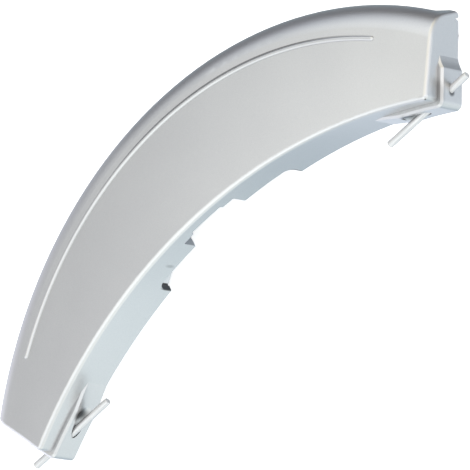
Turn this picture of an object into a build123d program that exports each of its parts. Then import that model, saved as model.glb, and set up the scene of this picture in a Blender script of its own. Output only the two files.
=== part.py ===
from build123d import *
import os
from math import asin, atan2, cos, degrees, radians, sin, sqrt, tan

# Crescent door handle of a front-loading washing machine, on its two steel hinge pins.
# The hinge axis is the X axis and its midpoint is the origin. +Y points to the grip edge and
# +Z to the front face, so the handle lies on its back rim. All sizes are in millimetres.

# Outline of the front face, placed from the hinge axis
half_chord = 120.0  # from the middle to each inner corner, along X
corner_drop = 3.8  # inner corners below the hinge axis, along Y
inner_radius = 259.0  # inner edge
door_drop = 97.1  # axis of the round door below the hinge axis, along Y
grip_radius = 186.0  # grip edge, about the door axis
end_lean = 31.0  # end faces away from Y, degrees

# Section of the moulding
depth = 22.3  # back rim to the front face, at the middle of the inner edge
axis_height = 6.0  # hinge axis above the back rim
front_slope = 6.4  # fall of the front face towards the grip edge, degrees
roll_radius = 12.0  # front face rolling over into the grip lip
roll_turn = 75.0  # how far the roll turns before the straight flank, degrees
edge_round = 1.5  # crisp edges round the front face
corner_round = 2.0  # upright edges at the inner corners
shell_wall = 2.6  # front face and grip lip
side_wall = 2.4  # inner wall and end walls

# Raised line along the front face
bead_inset = 15.0  # from the grip edge
bead_half_width = 1.0
bead_height = 0.55
bead_end_gap = 30.3  # from each end face to the end of the line

# Finger scoop behind the grip lip
scoop_wall = 1.7  # between the scoop and the ribbed channel, at the middle of the back rim
scoop_end_gap = 4.2  # scoop's edge from each outer corner, along the end face
scoop_draft = 24.0  # slope of the scoop's inner side, degrees
scoop_round = 12.0  # inner side turning into the floor
scoop_overlap = 0.8  # how far that round rises past the inside of the front wall
lip_rise = 7.0  # back edge of the grip lip above the back rim
lip_end = 1.8  # rim at full depth beside each end face
lip_run_out = 4.0  # from that rim up to the edge of the lip, square to the end face
lip_round = 1.5

# Ribbed channel between the inner wall and the scoop
channel_width = 15.4
rib_wall = 1.6
rib_recess = 0.7  # ribs below the back rim
rib_first = 44.0  # first rib from the middle, along the inner edge
rib_pitch = 21.4
rib_count = 4  # on each side of the middle
brace_reach = 17.0  # scoop end of each diagonal brace, along the inner edge
gusset_reach = 16.4  # short stiffeners beside the latch notch, along the inner edge
gusset_length = 4.6
pin_block = 3.6  # solid on both sides of the hinge axis, round the pins

# Latch notch in the inner wall, and the catch behind it
wide_notch_half = 40.8
wide_notch_rise = 7.8  # above the back rim
wide_notch_round = 3.5
latch_notch_half = 15.4
latch_notch_rise = 14.8
hook_relief_half = 9.0  # shallow relief in the top of the deep notch
hook_relief_rise = 16.3
notch_round = 0.6
notch_overrun = 0.4  # cut past the inside of the wall
catch_half = 9.0
catch_leg = 4.0
catch_wall = 1.8
catch_depth = 8.0  # inner wall to the catch's cross wall
catch_rise = 7.4  # legs above the back rim
catch_bar_rise = 9.6  # cross wall above the back rim

# Pin bosses wrapped round the inner corners
boss_raise = 2.2  # stands out of the inner wall and the end face
boss_height = 11.8  # above the back rim
boss_length = 32.8  # along the inner edge from the inner corner
boss_ramp = 12.0
boss_end_length = 13.5  # along the end face from the inner corner
boss_end_ramp = 5.0
boss_end_hollow = 0.3  # how far that ramp sags
boss_corner_round = 2.8
boss_bend_round = 1.5  # where each ramp meets the boss
boss_front_bevel = 0.9

# Hinge pins
pin_radius = 1.5
pin_length = 46.5
pin_inset = 32.5  # inner ends from the inner corners, along X
pin_chamfer = 0.3
pin_clearance = 0.05  # radial, in the bosses
mouth_flare = 12.0  # funnel where each pin leaves the inner wall, degrees
mouth_inset = 7.5  # narrow end of the funnel from the inner corner, along X
mouth_length = 14.0

# Stop buffers pressed into the back rim at the outer corners
buffer_radius = 2.0
buffer_proud = 1.2
buffer_seat = 2.0
buffer_chamfer = 0.5
buffer_gap = 9.9  # along the end face from the outer corner
buffer_inset = 2.4  # from the end face

# Worked out from the sizes above
over = 2.0  # cutters reach past the faces they cut
back_z = -axis_height
front_z = depth - axis_height
arc_drop = corner_drop + sqrt(inner_radius**2 - half_chord**2)
apex_y = inner_radius - arc_drop
apex_radius = apex_y + door_drop
corner_reach = inner_radius * asin(half_chord / inner_radius)
slope = radians(front_slope)
lean = radians(end_lean)
channel_inner = inner_radius + side_wall
channel_outer = channel_inner + channel_width
roll_centre_r = grip_radius - roll_radius
turn = radians(roll_turn)
scoop_edge = apex_y + side_wall + channel_width + scoop_wall
rib_reaches = [rib_first + rib_pitch * i for i in range(rib_count)]
boss_start = corner_reach - boss_length
boss_root = side_wall / 2
bead_radius = grip_radius - bead_inset
bore_radius = pin_radius + pin_clearance
pin_inner_reach = half_chord - pin_inset
mouth_reach = half_chord - mouth_inset
block_reach = mouth_reach - mouth_length / 2

# The section of the ring stands on the far side of its axis, so no seam crosses the handle
door_section = Plane(origin=(0, -door_drop, 0), x_dir=(0, -1, 0), z_dir=(-1, 0, 0))
door_axis = Axis((0, -door_drop, 0), (0, 0, 1))

# Section square to the right end face, with x outwards from it
end_corner = (half_chord, -corner_drop, 0)
end_section = Plane(end_corner, x_dir=(cos(lean), -sin(lean), 0), z_dir=(-sin(lean), -cos(lean), 0))


def front_height(radius):
    """Height of the front face at a distance from the door axis."""
    return front_z - tan(slope) * (radius - apex_radius)


roll_centre_z = front_height(roll_centre_r) - roll_radius / cos(slope)


def arc_point(radius, reach):
    """Point on an arc about the inner edge's centre, with reach measured along the inner edge."""
    angle = reach / inner_radius
    return (radius * sin(angle), radius * cos(angle) - arc_drop)


def end_point(along, outwards):
    """Point by the right end face: along it from the inner corner, and outwards from it."""
    x = half_chord + along * sin(lean) + outwards * cos(lean)
    y = -corner_drop + along * cos(lean) - outwards * sin(lean)
    return (x, y)


def end_reach(radius, drop, outwards):
    """Length of a line parallel to the right end face, out to an arc centred below the origin."""
    x, y = end_point(0, outwards)
    y += drop
    half = x * sin(lean) + y * cos(lean)
    return sqrt(half**2 - x**2 - y**2 + radius**2) - half


def end_meets(radius, drop, outwards):
    """Point where that line meets the arc."""
    return end_point(end_reach(radius, drop, outwards), outwards)


def mirrored(point):
    """The same plan point on the left half."""
    return (-point[0], point[1])


def flank_radius(height, inset):
    """Distance of the lip's flank from the door axis at a height, inset by a wall."""
    radius = roll_radius - inset
    fall = roll_centre_z + radius * cos(turn) - height
    return roll_centre_r + radius * sin(turn) + fall / tan(turn)


end_length = end_reach(flank_radius(back_z, 0), door_drop, 0)


def ring_section(inset, bottom):
    """Section of the ring that carries the front face, roll and flank, inset by a wall."""
    radius = roll_radius - inset
    start_r = roll_centre_r + radius * sin(slope)
    start_z = roll_centre_z + radius * cos(slope)
    end_r = roll_centre_r + radius * sin(turn)
    end_z = roll_centre_z + radius * cos(turn)
    foot_r = flank_radius(bottom, inset)
    hub_r = apex_radius - boss_raise - over
    hub_z = start_z + (start_r - hub_r) * tan(slope)
    with BuildSketch(door_section) as sketch:
        with BuildLine():
            Polyline((end_r, end_z), (foot_r, bottom), (hub_r, bottom), (hub_r, hub_z), (start_r, start_z))
            CenterArc((roll_centre_r, roll_centre_z), radius, 90 - front_slope, front_slope - roll_turn)
        make_face()
    return sketch.sketch


def bar(start, end, width, overrun):
    """Flat bar in plan between two points, running past both by the overrun."""
    run = Vector(*end) - Vector(*start)
    middle = (Vector(*end) + Vector(*start)) / 2
    angle = degrees(atan2(run.Y, run.X))
    with Locations(Location((middle.X, middle.Y, 0), (0, 0, angle))):
        Rectangle(run.length + 2 * overrun, width)


# Space inside the front wall and the grip lip
with BuildPart() as core:
    add(ring_section(shell_wall, back_z - over))
    revolve(axis=door_axis)

# Ribbed channel, as the space to take out
with BuildPart() as channel:
    inner_corner = end_meets(channel_inner, arc_drop, -side_wall)
    outer_corner = end_meets(channel_outer, arc_drop, -side_wall)
    with BuildSketch(Plane.XY.offset(back_z - over)):
        with BuildLine():
            ThreePointArc(mirrored(inner_corner), arc_point(channel_inner, 0), inner_corner)
            Line(inner_corner, outer_corner)
            ThreePointArc(outer_corner, arc_point(channel_outer, 0), mirrored(outer_corner))
            Line(mirrored(outer_corner), mirrored(inner_corner))
        make_face()
    extrude(amount=depth + over)
    add(core.part, mode=Mode.INTERSECT)

    # Straight ribs, square to the inner edge, a diagonal brace on each side of the latch, and
    # the blocks that hold the pins
    with BuildSketch(Plane.XY.offset(back_z + rib_recess)):
        for side in (-1, 1):
            for reach in rib_reaches:
                foot = arc_point(channel_inner, side * reach)
                bar(foot, arc_point(channel_outer, side * reach), rib_wall, over)
            foot = arc_point(channel_inner, side * (rib_reaches[0] - rib_wall))
            bar(foot, arc_point(channel_outer, side * brace_reach), rib_wall, over)
            bar((side * block_reach, 0), (side * half_chord, 0), 2 * pin_block, over)
    extrude(amount=depth, mode=Mode.SUBTRACT)

    # Short stiffeners behind the steps of the notch
    with BuildSketch(Plane.XY.offset(back_z + wide_notch_rise)):
        for side in (-1, 1):
            root = arc_point(inner_radius, side * gusset_reach)
            bar(root, arc_point(channel_inner + gusset_length, side * gusset_reach), rib_wall, 0)
    extrude(amount=depth, mode=Mode.SUBTRACT)

    # Latch catch: two legs and a lower cross wall
    catch_y = channel_inner - arc_drop + catch_depth
    with BuildSketch(Plane.XY.offset(back_z + catch_rise)):
        for side in (-1, 1):
            leg_x = side * (catch_half - catch_leg / 2)
            bar((leg_x, catch_y), (leg_x, catch_y - catch_depth / 2), catch_leg, 0)
    extrude(amount=depth, mode=Mode.SUBTRACT)
    with BuildSketch(Plane.XY.offset(back_z + catch_bar_rise)):
        bar((-catch_half, catch_y - catch_wall / 2), (catch_half, catch_y - catch_wall / 2), catch_wall, 0)
    extrude(amount=depth, mode=Mode.SUBTRACT)

# Finger scoop, as the space to take out: its inner side turns through a large round into the
# inside of the front wall
with BuildPart() as scoop:
    scoop_end = end_point(end_length - scoop_end_gap, 0)
    sagitta = scoop_edge - scoop_end[1]
    scoop_edge_radius = (scoop_end[0] ** 2 + sagitta**2) / (2 * sagitta)
    scoop_drop = scoop_edge_radius - scoop_edge
    scoop_section = Plane(origin=(0, -scoop_drop, 0), x_dir=(0, -1, 0), z_dir=(-1, 0, 0))
    side_lean = tan(radians(scoop_draft))
    floor_z = front_height(scoop_edge + door_drop) - shell_wall + scoop_overlap
    far_r = scoop_edge_radius + grip_radius
    foot = (scoop_edge_radius - over * side_lean, back_z - over)
    corner = (scoop_edge_radius + (floor_z - back_z) * side_lean, floor_z)
    far_top = (far_r, floor_z - (far_r - corner[0]) * tan(slope))
    with BuildSketch(scoop_section):
        with BuildLine():
            FilletPolyline(foot, corner, far_top, radius=scoop_round)
            Polyline(far_top, (far_r, back_z - over), foot)
        make_face()
    revolve(axis=Axis((0, -scoop_drop, 0), (0, 0, 1)))
    add(core.part, mode=Mode.INTERSECT)

# Relief behind the grip lip, which runs out to the back rim near both ends
with BuildPart() as lip_relief:
    lip_z = back_z + lip_rise
    far = -2 * grip_radius
    ramp_top = (-lip_end - lip_run_out, lip_z)
    ramp_foot = (-lip_end + over * lip_run_out / lip_rise, back_z - over)
    with BuildSketch(end_section):
        with BuildLine():
            FilletPolyline((far, lip_z), ramp_top, ramp_foot, radius=lip_round)
            Polyline(ramp_foot, (far, back_z - over), (far, lip_z))
        make_face()
    extrude(amount=2 * grip_radius, both=True)
    add(mirror(lip_relief.part, about=Plane.YZ, mode=Mode.PRIVATE), mode=Mode.INTERSECT)
    with BuildSketch(Plane.XY.offset(back_z - over)):
        with Locations((0, -door_drop)):
            Circle(grip_radius + roll_radius)
            Circle(grip_radius - shell_wall - over, mode=Mode.SUBTRACT)
    extrude(amount=depth + over, mode=Mode.INTERSECT)

# Notch in the inner wall: a wide shallow step, a deep one in its middle and a relief in that
notch_steps = (
    (wide_notch_half, wide_notch_rise),
    (latch_notch_half, latch_notch_rise),
    (hook_relief_half, hook_relief_rise),
)
with BuildPart() as notch:
    with BuildSketch(Plane.XZ) as notch_outline:
        with Locations((0, back_z - over)):
            for half, rise in notch_steps:
                Rectangle(2 * half, rise + over, align=(Align.CENTER, Align.MIN))
        corners = notch_outline.vertices().filter_by(lambda v: v.Y > back_z)
        fillet(corners.filter_by(lambda v: abs(v.X) < wide_notch_half - over), radius=notch_round)
        for side in (0, -1):
            corners = notch_outline.vertices().group_by(Axis.X)[side]
            fillet(corners.sort_by(Axis.Y)[-1], radius=wide_notch_round)
    extrude(amount=-inner_radius)
    with BuildSketch(Plane.XY.offset(back_z - over)):
        with Locations((0, -arc_drop)):
            Circle(channel_inner + notch_overrun)
            Circle(inner_radius - over, mode=Mode.SUBTRACT)
    extrude(amount=depth + over, mode=Mode.INTERSECT)

# One pin boss, round the right inner corner: its root lies inside the wall, and its front edge
# is bevelled into a ridge
with BuildPart() as boss:
    root = arc_point(inner_radius + boss_root, boss_start - boss_root * boss_ramp / boss_raise)
    top = arc_point(inner_radius - boss_raise, boss_start + boss_ramp)
    bulge = arc_point(inner_radius - boss_raise, corner_reach - boss_length / 3)
    corner = end_meets(inner_radius - boss_raise, arc_drop, boss_raise)
    end_top = end_point(boss_end_length, boss_raise)
    sag = end_point(boss_end_length + boss_end_ramp / 2, boss_raise / 2 - boss_end_hollow)
    end_foot = end_point(boss_end_length + boss_end_ramp, 0)
    end_root = end_point(boss_end_length + boss_end_ramp, -boss_root)
    with BuildSketch(Plane.XY.offset(back_z)) as boss_plan:
        with BuildLine():
            Line(root, top)
            ThreePointArc(top, bulge, corner)
            Line(corner, end_top)
            ThreePointArc(end_top, sag, end_foot)
            Polyline(end_foot, end_root, root)
        make_face()
        for point, radius in ((corner, boss_corner_round), (top, boss_bend_round), (end_top, boss_bend_round)):
            fillet(boss_plan.vertices().sort_by_distance(point)[0], radius=radius)
    extrude(amount=boss_height)
    ridge = boss.edges().group_by(Axis.Z)[-1].filter_by(GeomType.CIRCLE).sort_by(SortBy.LENGTH)[-1]
    chamfer(ridge, length=boss_front_bevel)

# Raised line on the front face, with rounded ends
with BuildPart() as bead:
    bead_round = (bead_half_width**2 + bead_height**2) / (2 * bead_height)
    bead_z = front_height(bead_radius) + bead_height - bead_round
    bead_x, bead_y = end_meets(bead_radius, door_drop, -bead_end_gap)
    bead_sweep = 2 * degrees(atan2(bead_x, bead_y + door_drop))
    toward_end = Vector(bead_x, bead_y + door_drop, 0)
    across = toward_end.cross(Vector(0, 0, 1))
    with BuildSketch(Plane(origin=(0, -door_drop, 0), x_dir=toward_end, z_dir=across)):
        with Locations((bead_radius, bead_z)):
            Circle(bead_round)
    revolve(axis=door_axis, revolution_arc=bead_sweep)
    for side in (-1, 1):
        tip = (side * bead_x, bead_y, bead_z)
        with Locations(Plane(origin=tip, z_dir=(side * across.X, across.Y, 0))):
            Sphere(bead_round)

# Bores for the pins, each with a funnel where the pin leaves the inner wall
with BuildPart() as bores:
    mouth_radius = bore_radius + mouth_length * tan(radians(mouth_flare))
    for side in (-1, 1):
        with BuildSketch(Plane.YZ.offset(side * pin_inner_reach)):
            Circle(bore_radius)
        extrude(amount=side * pin_length)
        with Locations(Location((side * mouth_reach, 0, 0), (0, -90 * side, 0))):
            Cone(bore_radius, mouth_radius, mouth_length, align=(Align.CENTER, Align.CENTER, Align.MIN))

# Seats of the stop buffers
buffer_centre = end_point(end_length - buffer_gap, -buffer_inset)
with BuildPart() as seats:
    with BuildSketch(Plane.XY.offset(back_z)):
        with Locations(buffer_centre, mirrored(buffer_centre)):
            Circle(buffer_radius)
    extrude(amount=buffer_seat)

# The moulded handle
with BuildPart() as handle:
    add(ring_section(0, back_z))
    revolve(axis=door_axis)
    right_corner = (half_chord, -corner_drop)
    far_end = end_point(grip_radius, 0)
    far_corner = (far_end[0], far_end[1] + over)
    with BuildSketch(Plane.XY.offset(back_z)):
        with BuildLine():
            ThreePointArc(mirrored(right_corner), arc_point(inner_radius, 0), right_corner)
            Polyline(right_corner, far_end, far_corner, mirrored(far_corner), mirrored(far_end))
            Line(mirrored(far_end), mirrored(right_corner))
        make_face()
    extrude(amount=depth + over, mode=Mode.INTERSECT)

    # Rounded inner corners, then the edges of the front face and of the ends in one run
    fillet(handle.edges().filter_by(Axis.Z), radius=corner_round)
    ends = handle.faces().filter_by(GeomType.PLANE).sort_by(Axis.X)
    end_curves = (ends[0].edges() + ends[-1].edges()).filter_by(GeomType.LINE, reverse=True)
    front = handle.faces().filter_by(GeomType.CONE).sort_by(Axis.Z)[-1]
    rim = handle.faces().sort_by(Axis.Z)[0].edges().sort_by(Axis.Y)[-1:]
    fillet(front.edges().sort_by(Axis.Y)[:-1] + end_curves.sort_by(Axis.Z)[:4] + rim, radius=edge_round)

    add(bead.part)
    add(boss.part)
    add(mirror(boss.part, about=Plane.YZ, mode=Mode.PRIVATE))
    for hollow in (channel, scoop, lip_relief, notch, bores, seats):
        add(hollow.part, mode=Mode.SUBTRACT)

# Hinge pins, right and left
with BuildPart() as pin_right:
    with BuildSketch(Plane.YZ.offset(pin_inner_reach)):
        Circle(pin_radius)
    extrude(amount=pin_length)
    chamfer(pin_right.edges().filter_by(GeomType.CIRCLE), length=pin_chamfer)

with BuildPart() as pin_left:
    add(mirror(pin_right.part, about=Plane.YZ, mode=Mode.PRIVATE))

# Stop buffers, right and left
with BuildPart() as buffer_right:
    with BuildSketch(Plane.XY.offset(back_z - buffer_proud)):
        with Locations(buffer_centre):
            Circle(buffer_radius)
    extrude(amount=buffer_seat + buffer_proud)
    chamfer(buffer_right.edges().sort_by(Axis.Z)[0], length=buffer_chamfer)

with BuildPart() as buffer_left:
    add(mirror(buffer_right.part, about=Plane.YZ, mode=Mode.PRIVATE))

pieces = {
    "door_handle": handle,
    "hinge_pin_right": pin_right,
    "hinge_pin_left": pin_left,
    "stop_buffer_right": buffer_right,
    "stop_buffer_left": buffer_left,
}
os.makedirs("parts", exist_ok=True)
for name, piece in pieces.items():
    piece.part.label = name
    export_step(piece.part, f"parts/{name}.step")
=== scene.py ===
# %% [markdown]
# # A washing machine door handle
# The handle is one plastic moulding: a crescent with a domed front, a rolled grip lip and a ribbed
# back. It swings on two steel pins, and two small rubber buffers stop it against the door. The CAD
# model already holds these shapes, at a size worked out from the thickness of the pins. So this
# lesson gives each piece its finish, draws the raised line of the front once more as a smooth bead,
# lights the handle softly and sets up the camera.

# %% Load the CAD model
import math

import bpy
from mathutils import Matrix, Vector


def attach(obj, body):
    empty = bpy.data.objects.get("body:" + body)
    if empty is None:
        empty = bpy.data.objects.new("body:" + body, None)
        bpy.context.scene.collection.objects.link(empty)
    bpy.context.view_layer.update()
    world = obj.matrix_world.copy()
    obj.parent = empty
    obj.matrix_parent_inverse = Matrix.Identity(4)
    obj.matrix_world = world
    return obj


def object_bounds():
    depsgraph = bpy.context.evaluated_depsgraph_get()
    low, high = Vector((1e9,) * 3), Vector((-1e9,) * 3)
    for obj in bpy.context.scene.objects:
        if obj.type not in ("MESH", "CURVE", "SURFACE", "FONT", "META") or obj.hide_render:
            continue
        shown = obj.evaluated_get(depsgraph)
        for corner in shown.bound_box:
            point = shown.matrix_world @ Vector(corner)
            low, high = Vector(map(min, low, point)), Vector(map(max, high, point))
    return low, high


MM = 0.001

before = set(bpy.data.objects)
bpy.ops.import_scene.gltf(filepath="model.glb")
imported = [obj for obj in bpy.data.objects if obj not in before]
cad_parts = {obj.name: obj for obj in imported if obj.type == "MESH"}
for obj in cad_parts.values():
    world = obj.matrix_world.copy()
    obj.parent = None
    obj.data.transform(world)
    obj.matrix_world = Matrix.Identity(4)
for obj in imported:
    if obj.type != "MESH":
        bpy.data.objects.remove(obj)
cad_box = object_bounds()
sides_mm = [(high - low) / MM for low, high in zip(*cad_box)]
print("CAD box in mm:", [round(side, 1) for side in sides_mm])

# %% [markdown]
# Every finish below is a small node tree. One helper adds a node, sets its values and links its
# inputs, so that each material reads as a list of what the light meets. Colours are written as sRGB
# hex values, as on a paint chart, and one function turns them into the linear values that the shader
# needs. Patterns are sized in millimetres.


# %% Helpers for the finishes
def colour(hex_code):
    """Linear colour with full alpha, from an sRGB hex value."""
    channels = [int(hex_code[i : i + 2], 16) / 255 for i in (1, 3, 5)]
    return [c / 12.92 if c <= 0.04045 else ((c + 0.055) / 1.055) ** 2.4 for c in channels] + [1.0]


def add_node(tree, kind, values=None, links=None):
    """New node: values set its attributes or inputs by name, links feed its inputs."""
    node = tree.nodes.new(kind)
    for name, value in (values or {}).items():
        if isinstance(name, str) and hasattr(node, name):
            setattr(node, name, value)
        else:
            node.inputs[name].default_value = value
    for name, output in (links or {}).items():
        tree.links.new(output, node.inputs[name])
    return node


def start_finish(name):
    """Empty material with its output node and the piece's own coordinates in metres."""
    material = bpy.data.materials.new(name)
    material.use_nodes = True
    tree = material.node_tree
    tree.nodes.clear()
    output = add_node(tree, "ShaderNodeOutputMaterial")
    place = add_node(tree, "ShaderNodeTexCoord").outputs["Object"]
    return material, tree, output, place


def per_metre(millimetres):
    """Texture scale at which one cell of a pattern is this many millimetres wide."""
    return 1 / (millimetres * MM)


# Most values of a noise lie between these two
NOISE_LOW, NOISE_HIGH = 0.3, 0.7

# %% [markdown]
# Paint is never the same all over, and some shade is painted into its colour too. The root of a
# boss, the pin mouths, the rims of the pin bores and the ends of the notch get painted shade, where
# little light reaches. The inner wall has a grey rub mark, there is a pinhole at one corner, and a
# thin dark line of painted shade lies along the outer foot of the raised line.
# They could be painted on a picture, but that needs an unwrapped surface. Here each one is a soft
# spot, a factor that darkens the colour inside an ellipsoid, and needs only its place and size.
#
# Each row gives a name, the centre, the reach along X, Y and Z, the shade in the middle, the share of
# the reach that is solid, and the sides of the handle that have the spot. The line of painted shade
# follows the raised line, so its place is a distance from the axis of the door, a distance to the
# side and a height.

# %% Soft spots on the paint: marks and painted shade
ONE_SIDE = (1,)
BOTH_SIDES = (1, -1)
# The pin mouth, boss root, bore rim and notch end spots are painted shade: they darken the colour
# where little light reaches. The rub mark and the pinhole are marks of the paint itself.
MARK_AND_SHADE_SPOTS_MM = (
    ("rub_mark", (-28.6, 24.1, 5.4), (1.3, 4.0, 3.4), 0.72, 0.2, ONE_SIDE),
    ("pinhole", (119.2, -3.1, 11.9), (0.55, 0.55, 0.55), 0.25, 0.5, ONE_SIDE),
    ("pin_mouth_shade", (102.0, 2.7, 1.2), (4.6, 3.0, 4.6), 0.12, 0.4, BOTH_SIDES),
    ("boss_root_shade", (122.2, -0.5, 6.8), (5.0, 8.0, 4.0), 0.72, 0.4, ONE_SIDE),
    ("bore_rim_shade", (124.0, -1.4, 0.0), (1.9, 1.9, 2.2), 0.3, 0.4, BOTH_SIDES),
    ("notch_end_shade", (40.8, 23.6, -3.4), (0.7, 4.5, 5.0), 0.2, 0.4, BOTH_SIDES),
)
# Painted shade: a thin dark line along the outer foot of the raised line.
FOOT_SHADE_LINE_MM = ("foot_shade_line", (172.3, 30.0, 11.0), (0.5, 82.0, 2.0), 0.36, 0.6)


def spot(tree, place, name, centre_mm, reach_mm, shade, solid):
    """Factor that falls to the shade inside a soft ellipsoid."""
    offset = add_node(
        tree,
        "ShaderNodeVectorMath",
        {"operation": "SUBTRACT", 1: Vector(centre_mm) * MM},
        {0: place},
    )
    scaled = add_node(
        tree,
        "ShaderNodeVectorMath",
        {"operation": "MULTIPLY", 1: [per_metre(side) for side in reach_mm]},
        {0: offset.outputs["Vector"]},
    )
    distance = add_node(
        tree, "ShaderNodeVectorMath", {"operation": "LENGTH"}, {0: scaled.outputs["Vector"]}
    )
    fade = add_node(
        tree,
        "ShaderNodeMapRange",
        {"label": name, "interpolation_type": "SMOOTHSTEP", "From Min": solid, "To Min": shade},
        {"Value": distance.outputs["Value"]},
    )
    return fade.outputs["Result"]


# %% [markdown]
# Two more things change the colour over larger areas, and both are painted shade. The colour is a
# little lighter on the inner side of the front and darker towards the grip edge, and it is darker in
# every corner, where shade falls. A spot for each corner would make a long list, so ambient
# occlusion finds them: it tells how much of its surroundings each point can see.

# %% Painted shade towards the grip edge and in corners, and the spots, as factors
DOOR_AXIS_MM = (0, -97.1, 0)
# Painted shade across the front and in the corners
GRIP_SHADE_FROM_MM, GRIP_SHADE_TO_MM = 128, 168
GRIP_SHADE_INNER, GRIP_SHADE_OUTER = 1.05, 0.95
CORNER_REACH_MM = 7
CORNER_CLOSED, CORNER_OPEN = 0.2, 0.65
CORNER_SHADE = 0.42


def paint_factors(tree, place):
    """Marks and painted shade that make the paint lighter or darker from place to place."""
    flat = add_node(
        tree, "ShaderNodeVectorMath", {"operation": "MULTIPLY", 1: (1, 1, 0)}, {0: place}
    )
    outwards = add_node(
        tree,
        "ShaderNodeVectorMath",
        {"operation": "DISTANCE", 1: Vector(DOOR_AXIS_MM) * MM},
        {0: flat.outputs["Vector"]},
    )
    # Painted shade: a little lighter on the inner side of the front, darker towards the grip edge
    grip_edge_shade = add_node(
        tree,
        "ShaderNodeMapRange",
        {
            "From Min": GRIP_SHADE_FROM_MM * MM,
            "From Max": GRIP_SHADE_TO_MM * MM,
            "To Min": GRIP_SHADE_INNER,
            "To Max": GRIP_SHADE_OUTER,
        },
        {"Value": outwards.outputs["Value"]},
    )
    # Painted shade: the colour is darker in corners that see little of their surroundings
    openness = add_node(
        tree, "ShaderNodeAmbientOcclusion", {"only_local": True, "Distance": CORNER_REACH_MM * MM}
    )
    painted_corner_shade = add_node(
        tree,
        "ShaderNodeMapRange",
        {"From Min": CORNER_CLOSED, "From Max": CORNER_OPEN, "To Min": CORNER_SHADE},
        {"Value": openness.outputs["AO"]},
    )
    factors = [grip_edge_shade.outputs["Result"], painted_corner_shade.outputs["Result"]]
    for name, (x, y, z), reach_mm, shade, solid, sides in MARK_AND_SHADE_SPOTS_MM:
        for side in sides:
            factors.append(spot(tree, place, name, (side * x, y, z), reach_mm, shade, solid))
    parts = add_node(tree, "ShaderNodeSeparateXYZ", links={0: place})
    beside_line = add_node(
        tree,
        "ShaderNodeCombineXYZ",
        links={"X": outwards.outputs["Value"], "Y": parts.outputs["X"], "Z": parts.outputs["Z"]},
    )
    # Painted shade along the outer foot of the raised line
    factors.append(spot(tree, beside_line.outputs["Vector"], *FOOT_SHADE_LINE_MM))
    return factors


# %% [markdown]
# The moulding is ABS, sprayed with silver metallic paint. The paint is aluminium flakes in a clear
# binder. The flakes lie at slightly different angles, which makes it satin and gives it a fine
# grain. A grey plastic would show only its own colour, but flakes mirror the bright and dark parts
# of the room, so the shader is mostly metallic. The grain of a real paint is under 0.1 mm. It is
# drawn 0.4 mm wide here so that it shows in the picture. A faint orange peel, as every sprayed coat
# has, breaks up the highlights.

# %% Silver paint on the moulding
FLAKE_MM = 0.4
CLOUD_MM = 30
CLOUD_SHARE = 0.25
PAINT_DARK, PAINT_LIGHT = "#C2C2C3", "#CDCDCD"
PAINT_ROUGHNESS = (0.28, 0.38)
PAINT_METALLIC = 0.9
BINDER_IOR = 1.5
PEEL_MM = 1.2
PEEL_DEPTH_MM = 0.1
PEEL_STRENGTH = 0.03


def silver_paint():
    """Satin metallic paint with flakes, clouds, marks, painted shade and orange peel."""
    material, tree, output, place = start_finish("silver_paint_on_abs")
    flakes = add_node(
        tree,
        "ShaderNodeTexNoise",
        {"Scale": per_metre(FLAKE_MM), "Detail": 2.0, "Roughness": 0.7},
        {"Vector": place},
    )
    clouds = add_node(
        tree,
        "ShaderNodeTexNoise",
        {"Scale": per_metre(CLOUD_MM), "Detail": 1.0},
        {"Vector": place},
    )
    grain = add_node(
        tree,
        "ShaderNodeMix",
        {"data_type": "FLOAT", "Factor": CLOUD_SHARE},
        {"A": flakes.outputs["Fac"], "B": clouds.outputs["Fac"]},
    )
    tint = add_node(tree, "ShaderNodeValToRGB", links={"Fac": grain.outputs["Result"]})
    tint.color_ramp.elements[0].position = NOISE_LOW
    tint.color_ramp.elements[0].color = colour(PAINT_DARK)
    tint.color_ramp.elements[1].position = NOISE_HIGH
    tint.color_ramp.elements[1].color = colour(PAINT_LIGHT)
    paint_colour = tint.outputs["Color"]
    for factor in paint_factors(tree, place):
        shaded = add_node(
            tree,
            "ShaderNodeVectorMath",
            {"operation": "SCALE"},
            {0: paint_colour, "Scale": factor},
        )
        paint_colour = shaded.outputs["Vector"]

    satin = add_node(
        tree,
        "ShaderNodeMapRange",
        {
            "From Min": NOISE_LOW,
            "From Max": NOISE_HIGH,
            "To Min": PAINT_ROUGHNESS[0],
            "To Max": PAINT_ROUGHNESS[1],
        },
        {"Value": flakes.outputs["Fac"]},
    )
    peel = add_node(
        tree,
        "ShaderNodeTexNoise",
        {"Scale": per_metre(PEEL_MM), "Detail": 1.0},
        {"Vector": place},
    )
    relief = add_node(
        tree,
        "ShaderNodeBump",
        {"Strength": PEEL_STRENGTH, "Distance": PEEL_DEPTH_MM * MM},
        {"Height": peel.outputs["Fac"]},
    )
    paint = add_node(
        tree,
        "ShaderNodeBsdfPrincipled",
        {"Metallic": PAINT_METALLIC, "IOR": BINDER_IOR},
        {
            "Base Color": paint_colour,
            "Roughness": satin.outputs["Result"],
            "Normal": relief.outputs["Normal"],
        },
    )
    tree.links.new(paint.outputs["BSDF"], output.inputs["Surface"])
    return material


# %% [markdown]
# The hinge pins are cut from bright drawn steel wire. Drawing leaves hair-fine lines along the wire.
# They could come from a picture wrapped round the pin, but a noise needs none: it is stretched along
# X, the direction of the hinge. The lines of real wire are finer than 0.25 mm and are drawn that wide
# so that they show. The wire is pale and soft in its shine, so part of the shader is left without
# metal.

# %% Drawn steel of the pins
DRAW_LINE_MM = 0.25
DRAW_STRETCH = 0.03
DRAW_DEPTH_MM = 0.02
DRAW_STRENGTH = 0.08
STEEL_DARK, STEEL_LIGHT = "#BABABC", "#D0D0D0"
STEEL_FROM, STEEL_TO = 0.35, 0.65
STEEL_ROUGHNESS = (0.34, 0.44)
STEEL_METALLIC = 0.6


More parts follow.
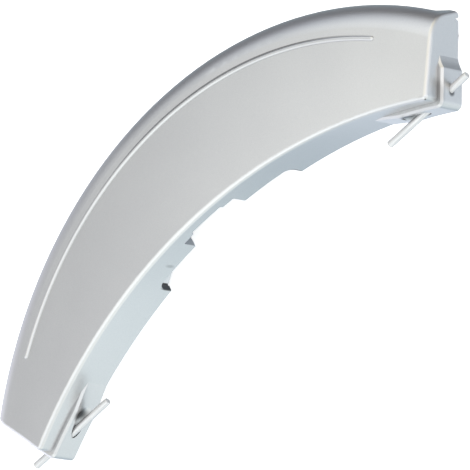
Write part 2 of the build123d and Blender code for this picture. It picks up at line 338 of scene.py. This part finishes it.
def drawn_steel():
    """Pale steel with fine lines along the wire."""
    material, tree, output, place = start_finish("bright_drawn_steel")
    stretched = add_node(
        tree, "ShaderNodeMapping", {"Scale": (DRAW_STRETCH, 1.0, 1.0)}, {"Vector": place}
    )
    lines = add_node(
        tree,
        "ShaderNodeTexNoise",
        {"Scale": per_metre(DRAW_LINE_MM), "Detail": 2.0},
        {"Vector": stretched.outputs["Vector"]},
    )
    tint = add_node(tree, "ShaderNodeValToRGB", links={"Fac": lines.outputs["Fac"]})
    tint.color_ramp.elements[0].position = STEEL_FROM
    tint.color_ramp.elements[0].color = colour(STEEL_DARK)
    tint.color_ramp.elements[1].position = STEEL_TO
    tint.color_ramp.elements[1].color = colour(STEEL_LIGHT)
    polish = add_node(
        tree,
        "ShaderNodeMapRange",
        {
            "From Min": NOISE_LOW,
            "From Max": NOISE_HIGH,
            "To Min": STEEL_ROUGHNESS[0],
            "To Max": STEEL_ROUGHNESS[1],
        },
        {"Value": lines.outputs["Fac"]},
    )
    relief = add_node(
        tree,
        "ShaderNodeBump",
        {"Strength": DRAW_STRENGTH, "Distance": DRAW_DEPTH_MM * MM},
        {"Height": lines.outputs["Fac"]},
    )
    steel = add_node(
        tree,
        "ShaderNodeBsdfPrincipled",
        {"Metallic": STEEL_METALLIC},
        {
            "Base Color": tint.outputs["Color"],
            "Roughness": polish.outputs["Result"],
            "Normal": relief.outputs["Normal"],
        },
    )
    tree.links.new(steel.outputs["BSDF"], output.inputs["Surface"])
    return material


# %% [markdown]
# The stop buffers are small moulded rubber plugs. Rubber is dark and matt. A plain dark colour would
# look like a hole, so a fine speckle of dust lies on it.

# %% Rubber of the buffers
SPECKLE_MM = 0.3
SPECKLE_DEPTH_MM = 0.05
SPECKLE_STRENGTH = 0.2
RUBBER_DARK, RUBBER_DUSTY = "#3C3F44", "#62666C"
RUBBER_FROM, RUBBER_TO = 0.35, 0.7
RUBBER_ROUGHNESS = 0.7
RUBBER_IOR = 1.52


def moulded_rubber():
    """Matt dark rubber with a speckle of dust."""
    material, tree, output, place = start_finish("moulded_rubber")
    speckle = add_node(
        tree,
        "ShaderNodeTexNoise",
        {"Scale": per_metre(SPECKLE_MM), "Detail": 3.0},
        {"Vector": place},
    )
    tint = add_node(tree, "ShaderNodeValToRGB", links={"Fac": speckle.outputs["Fac"]})
    tint.color_ramp.elements[0].position = RUBBER_FROM
    tint.color_ramp.elements[0].color = colour(RUBBER_DARK)
    tint.color_ramp.elements[1].position = RUBBER_TO
    tint.color_ramp.elements[1].color = colour(RUBBER_DUSTY)
    relief = add_node(
        tree,
        "ShaderNodeBump",
        {"Strength": SPECKLE_STRENGTH, "Distance": SPECKLE_DEPTH_MM * MM},
        {"Height": speckle.outputs["Fac"]},
    )
    rubber = add_node(
        tree,
        "ShaderNodeBsdfPrincipled",
        {"Roughness": RUBBER_ROUGHNESS, "IOR": RUBBER_IOR},
        {"Base Color": tint.outputs["Color"], "Normal": relief.outputs["Normal"]},
    )
    tree.links.new(rubber.outputs["BSDF"], output.inputs["Surface"])
    return material


# %% [markdown]
# A CAD piece keeps its mesh, and only the material in its slots changes. Each piece could have a
# material of its own, but the two pins are the same piece twice, and so are the two buffers. They
# share one steel and one rubber, so a change to a finish shows on both.

# %% Give each piece its finish
FINISHES = {
    "door_handle": silver_paint(),
    "hinge_pin_right": drawn_steel(),
    "stop_buffer_right": moulded_rubber(),
}
FINISHES["hinge_pin_left"] = FINISHES["hinge_pin_right"]
FINISHES["stop_buffer_left"] = FINISHES["stop_buffer_right"]
for name, finish in FINISHES.items():
    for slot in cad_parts[name].material_slots:
        slot.material = finish
    print(name, "has", finish.name)

# %% [markdown]
# The raised line is the sharpest highlight of the front face. In the CAD model's mesh it is cut into
# facets, which would break the highlight, and a bump in the paint would not stand out of the face. So
# the line is drawn again as one smooth bead over the CAD model's: a ring is spun round the axis of
# the door. More than half of the bead lies inside the wall. The rest stands 0.8 mm proud, about a
# quarter of a millimetre above the CAD model's line.

# %% Spin the raised line
BEAD_RADIUS_MM = 171
BEAD_CENTRE_Z_MM = 10.58
BEAD_SECTION_MM = 1.13
BEAD_SWEEP = math.radians(78.48)
BEAD_STEPS = 120
RING_VERTICES = 24

bpy.ops.object.select_all(action="DESELECT")
door_axis = Vector(DOOR_AXIS_MM) * MM
tips = []
for side in BOTH_SIDES:
    angle = math.pi / 2 - side * BEAD_SWEEP / 2
    arm = Vector((math.cos(angle), math.sin(angle), 0)) * BEAD_RADIUS_MM * MM
    tips.append(door_axis + arm + Vector((0, 0, BEAD_CENTRE_Z_MM * MM)))
bpy.ops.mesh.primitive_circle_add(
    vertices=RING_VERTICES,
    radius=BEAD_SECTION_MM * MM,
    location=tips[0],
    rotation=(math.pi / 2, 0, math.pi / 2 - BEAD_SWEEP / 2),
)
bead = bpy.context.object
bead.name = "raised_line"
bpy.ops.object.transform_apply(location=True, rotation=True, scale=True)
bpy.ops.object.mode_set(mode="EDIT")
bpy.ops.mesh.select_all(action="SELECT")
bpy.ops.mesh.spin(steps=BEAD_STEPS, angle=-BEAD_SWEEP, center=door_axis, axis=(0, 0, 1))
bpy.ops.object.mode_set(mode="OBJECT")
print("raised line tips in mm:", [[round(c / MM, 1) for c in tip] for tip in tips])

# %% [markdown]
# A spun bead is open at its ends. A flat cap would show as a cut, so at each tip the outer half of
# the last ring is picked out by its place and spun half a turn round the tip, which closes the end
# with half a ball. The doubled points are then merged, and the faces are turned outwards.

# %% Round off the tips
TIP_STEPS = 10
CLOSE_MM = 0.01

for tip, turn in zip(tips, BOTH_SIDES):
    along = Vector((tip.y - door_axis.y, -tip.x, 0)).normalized()
    outwards = Vector((tip.x, tip.y - door_axis.y, 0)).normalized()
    for vertex in bead.data.vertices:
        step = vertex.co - tip
        near_tip = step.length < 2 * BEAD_SECTION_MM * MM
        on_ring = near_tip and abs(step.dot(along)) < CLOSE_MM * MM
        vertex.select = on_ring and step.dot(outwards) > -CLOSE_MM * MM
    for edge in bead.data.edges:
        edge.select = all(bead.data.vertices[i].select for i in edge.vertices)
    for face in bead.data.polygons:
        face.select = False
    bpy.ops.object.mode_set(mode="EDIT")
    bpy.ops.mesh.spin(steps=TIP_STEPS, angle=turn * math.pi, center=tip, axis=(0, 0, 1))
    bpy.ops.object.mode_set(mode="OBJECT")
bpy.ops.object.mode_set(mode="EDIT")
bpy.ops.mesh.select_all(action="SELECT")
bpy.ops.mesh.remove_doubles(threshold=CLOSE_MM * MM)
bpy.ops.mesh.normals_make_consistent(inside=False)
bpy.ops.object.mode_set(mode="OBJECT")
bpy.ops.object.shade_smooth()
bead.data.materials.append(FINISHES["door_handle"])
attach(bead, "handle")
print("raised line has", len(bead.data.polygons), "faces")

# %% [markdown]
# The floor is a plain pale sheet under the handle. A white background alone would hold no shadow, so
# the sheet is a real plane. It glows a little, as a lit studio sweep does, so that the shadow stays
# faint. It is hidden from reflections, so that the paint shows the cards of the next step and not the
# floor.

# %% Studio floor
FLOOR_SIDE = 8.0
FLOOR_TINT = "#F4F4F4"
FLOOR_ROUGHNESS = 0.9
FLOOR_GLOW = 0.6

bpy.ops.object.select_all(action="DESELECT")
bpy.ops.mesh.primitive_plane_add(size=FLOOR_SIDE, location=(0, 0, cad_box[0].z))
floor = bpy.context.object
floor.name = "studio_floor"
floor.visible_glossy = False

sweep, sweep_tree, sweep_output, _ = start_finish("pale_sweep")
paper = add_node(
    sweep_tree,
    "ShaderNodeBsdfPrincipled",
    {
        "Base Color": colour(FLOOR_TINT),
        "Roughness": FLOOR_ROUGHNESS,
        "Emission Color": colour("#FFFFFF"),
        "Emission Strength": FLOOR_GLOW,
    },
)
sweep_tree.links.new(paper.outputs["BSDF"], sweep_output.inputs["Surface"])
floor.data.materials.append(sweep)
print("floor at", round(cad_box[0].z / MM, 1), "mm")

# %% [markdown]
# Small lamps would show in a satin metal as hard spots, so the light is a set of soft cards, drawn
# straight onto the sky. A metallic paint shows what stands around it, so each card paints one part
# of the handle. The cards above and on the upper left light the front face. The one in front and
# the one low on the left light the inner wall, the one on the right lights the end face, and the
# strip on the left draws the white side of the raised line. The card behind stands high, and below
# it the roll of the grip lip falls off to a dark grey, up to the far end that the left card lights.
#
# Each card has a direction, an edge, a tint and a strength. It is brightest in its direction and
# fades out smoothly where the cosine of the angle falls to its edge.

# %% Room light
ROOM_GLOW = ("#E4E0FF", 0.1)
ROOM_CARDS = (
    ("overhead", (0.46, 0.33, 0.82), 0.34, "#FFFAE4", 1.43),
    ("upper_left", (-0.78, 0.23, 0.58), 0.5, "#FBFFFE", 0.59),
    ("behind", (0.01, 0.82, 0.57), 0.81, "#D6E6FF", 0.74),
    ("upper_right", (0.68, -0.26, 0.69), 0.67, "#CDD6FF", 0.4),
    ("front", (0.08, -0.99, 0.12), 0.07, "#FAFFFA", 1.28),
    ("left", (-0.96, 0.22, -0.18), 0.63, "#F6F4FF", 1.25),
    ("left_strip", (-0.58, -0.35, 0.74), 0.72, "#F7FEFF", 1.04),
    ("low_left", (-0.41, -0.06, -0.91), 0.0, "#D3F1FF", 0.53),
    ("right", (0.91, -0.26, -0.33), 0.52, "#EEF7FF", 0.9),
    ("zenith", (0.11, -0.25, 0.96), 0.78, "#9CAAFF", 0.22),
)

world = bpy.data.worlds.new("studio_room")
bpy.context.scene.world = world
world.use_nodes = True
room = world.node_tree
room.nodes.clear()
toward = add_node(room, "ShaderNodeTexCoord").outputs["Generated"]
glow_tint, glow_strength = ROOM_GLOW
base = add_node(room, "ShaderNodeCombineXYZ")
for axis, channel in zip("XYZ", colour(glow_tint)):
    base.inputs[axis].default_value = channel * glow_strength
light = base.outputs["Vector"]
for name, direction, edge, tint, strength in ROOM_CARDS:
    facing = add_node(
        room,
        "ShaderNodeVectorMath",
        {"operation": "DOT_PRODUCT", 1: Vector(direction).normalized()},
        {0: toward},
    )
    fade = add_node(
        room,
        "ShaderNodeMapRange",
        {"interpolation_type": "SMOOTHSTEP", "From Min": edge},
        {"Value": facing.outputs["Value"]},
    )
    bright = [channel * strength for channel in colour(tint)[:3]]
    card = add_node(
        room,
        "ShaderNodeVectorMath",
        {"label": name, "operation": "MULTIPLY_ADD", 1: bright},
        {0: fade.outputs["Result"], 2: light},
    )
    light = card.outputs["Vector"]
air = add_node(room, "ShaderNodeBackground", links={"Color": light})
room_output = add_node(room, "ShaderNodeOutputWorld")
room.links.new(air.outputs["Background"], room_output.inputs["Surface"])
print("room has", len(ROOM_CARDS), "cards")

# %% [markdown]
# The camera stands 3 m away with a long lens, so the handle shows almost without perspective. An
# orthographic camera would be simpler, but it would lose the little that there is. The camera is
# rolled far over, which lays the handle's long side along the diagonal of the square picture. Its
# focal length is given in pixels of the picture and turned into the millimetres that a lens takes.

# %% Camera
PICTURE_SIDE = 470
FOCAL_PIXELS = 7566
SENSOR_MM = 36
CAMERA_TARGET_MM = (13.0, 8.1, 14.9)
CAMERA_DISTANCE = 3.0
CAMERA_AZIMUTH = 46.77
CAMERA_ELEVATION = 46.75
CAMERA_ROLL = -80.19

bpy.ops.object.camera_add()
camera = bpy.context.object
camera.name = "photo_camera"
camera.data.sensor_width = SENSOR_MM
camera.data.lens = SENSOR_MM * FOCAL_PIXELS / PICTURE_SIDE
camera.data.clip_end = 4 * CAMERA_DISTANCE
turned = (
    Matrix.Rotation(math.radians(CAMERA_AZIMUTH), 4, "Z")
    @ Matrix.Rotation(math.radians(90 - CAMERA_ELEVATION), 4, "X")
    @ Matrix.Rotation(math.radians(CAMERA_ROLL), 4, "Z")
)
target = Vector(CAMERA_TARGET_MM) * MM
away = turned.col[2].to_3d() * CAMERA_DISTANCE
camera.matrix_world = Matrix.Translation(target + away) @ turned
bpy.context.scene.camera = camera
bpy.context.scene.view_settings.view_transform = "Standard"
print("camera at", [round(c, 3) for c in camera.matrix_world.translation])
